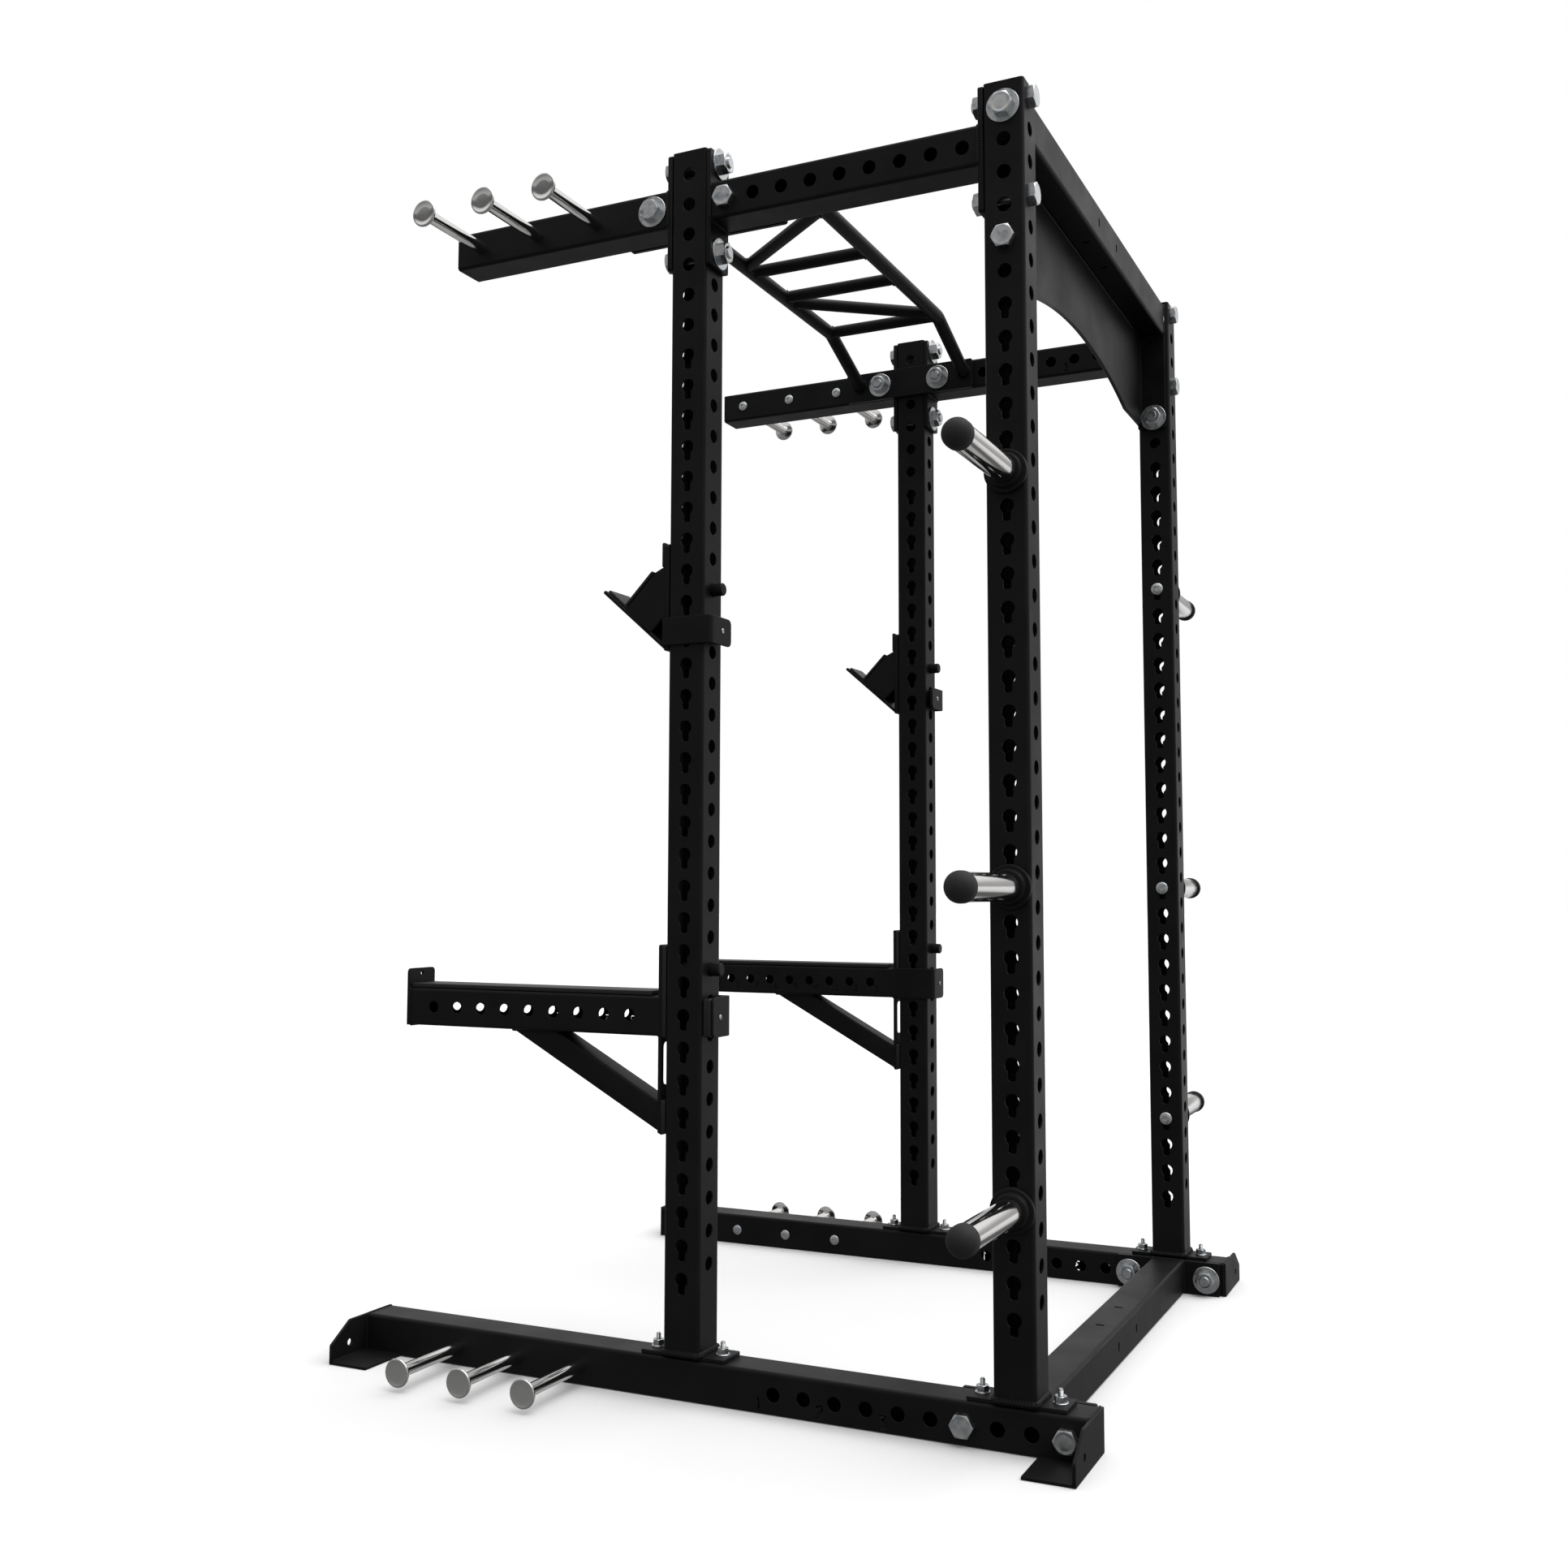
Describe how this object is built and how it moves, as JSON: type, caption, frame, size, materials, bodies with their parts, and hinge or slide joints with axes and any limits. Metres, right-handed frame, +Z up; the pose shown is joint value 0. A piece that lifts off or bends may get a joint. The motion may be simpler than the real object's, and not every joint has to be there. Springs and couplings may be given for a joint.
{
  "type": "power cage",
  "caption": "Open power cage with perforated square uprights, hinged J-hooks and spotter arms, multi-grip pull-up frame, plate storage pegs and band pegs.",
  "frame": {"origin": "on the floor, midway between the base rails and midway along them", "axes": "+Z up, +X to the side of the cage that holds the nodes named right, -Y towards the front where the J-hooks, spotter arms and extensions are"},
  "size_m": [1.819, 1.497, 2.3718],
  "materials": {
    "powder_coat": "fine-textured matt black powder coat",
    "zinc": "bright zinc plating",
    "chrome": "polished chrome plate",
    "rubber": "satin black rubber",
    "liner": "matt black plastic liner"
  },
  "bodies": {
    "frame": {"upright_front_right": "powder_coat", "upright_front_left": "powder_coat", "upright_rear_right": "powder_coat", "upright_rear_left": "powder_coat", "base_rail_right": "powder_coat", "base_rail_left": "powder_coat", "side_beam_right": "powder_coat", "side_beam_left": "powder_coat", "top_extension_right": "powder_coat", "top_extension_left": "powder_coat", "base_crossmember": "powder_coat", "rear_beam": "powder_coat", "pullup_frame": "powder_coat", "plate_peg_top_right": "chrome", "plate_peg_cap_top_right": "rubber", "plate_peg_top_left": "chrome", "plate_peg_cap_top_left": "rubber", "plate_peg_middle_right": "chrome", "plate_peg_cap_middle_right": "rubber", "plate_peg_middle_left": "chrome", "plate_peg_cap_middle_left": "rubber", "plate_peg_bottom_right": "chrome", "plate_peg_cap_bottom_right": "rubber", "plate_peg_bottom_left": "chrome", "plate_peg_cap_bottom_left": "rubber", "band_peg_top_1_right": "chrome", "band_peg_top_1_left": "chrome", "band_peg_top_2_right": "chrome", "band_peg_top_2_left": "chrome", "band_peg_top_3_right": "chrome", "band_peg_top_3_left": "chrome", "band_peg_base_1_right": "chrome", "band_peg_base_1_left": "chrome", "band_peg_base_2_right": "chrome", "band_peg_base_2_left": "chrome", "band_peg_base_3_right": "chrome", "band_peg_base_3_left": "chrome", "front_bolt_upper_right": "zinc", "front_bolt_upper_left": "zinc", "front_bolt_lower_right": "zinc", "front_bolt_lower_left": "zinc", "rear_bolt_upper_right": "zinc", "rear_bolt_upper_left": "zinc", "rear_bolt_lower_right": "zinc", "rear_bolt_lower_left": "zinc"},
    "jhook_body_right": {"jhook_right": "powder_coat", "jhook_slope_liner_right": "liner", "jhook_back_liner_right": "liner", "jhook_tab_pad_right": "liner"},
    "jhook_body_left": {"jhook_left": "powder_coat", "jhook_slope_liner_left": "liner", "jhook_back_liner_left": "liner", "jhook_tab_pad_left": "liner"},
    "spotter_body_right": {"spotter_arm_right": "powder_coat", "spotter_strip_right": "liner", "spotter_tab_pad_right": "liner"},
    "spotter_body_left": {"spotter_arm_left": "powder_coat", "spotter_strip_left": "liner", "spotter_tab_pad_left": "liner"}
  },
  "joints": [
    {"name": "jhook_swing_right", "type": "hinge", "parent": "frame", "child": "jhook_body_right", "pos_m": [0.594, -0.017, 1.5018], "axis": [0, -1, 0], "range_deg": [0, 90]},
    {"name": "jhook_swing_left", "type": "hinge", "parent": "frame", "child": "jhook_body_left", "pos_m": [-0.594, -0.017, 1.5018], "axis": [0, 1, 0], "range_deg": [0, 90]},
    {"name": "spotter_swing_right", "type": "hinge", "parent": "frame", "child": "spotter_body_right", "pos_m": [0.594, -0.017, 0.7818], "axis": [0, 1, 0], "range_deg": [0, 90]},
    {"name": "spotter_swing_left", "type": "hinge", "parent": "frame", "child": "spotter_body_left", "pos_m": [-0.594, -0.017, 0.7818], "axis": [0, -1, 0], "range_deg": [0, 90]}
  ]
}
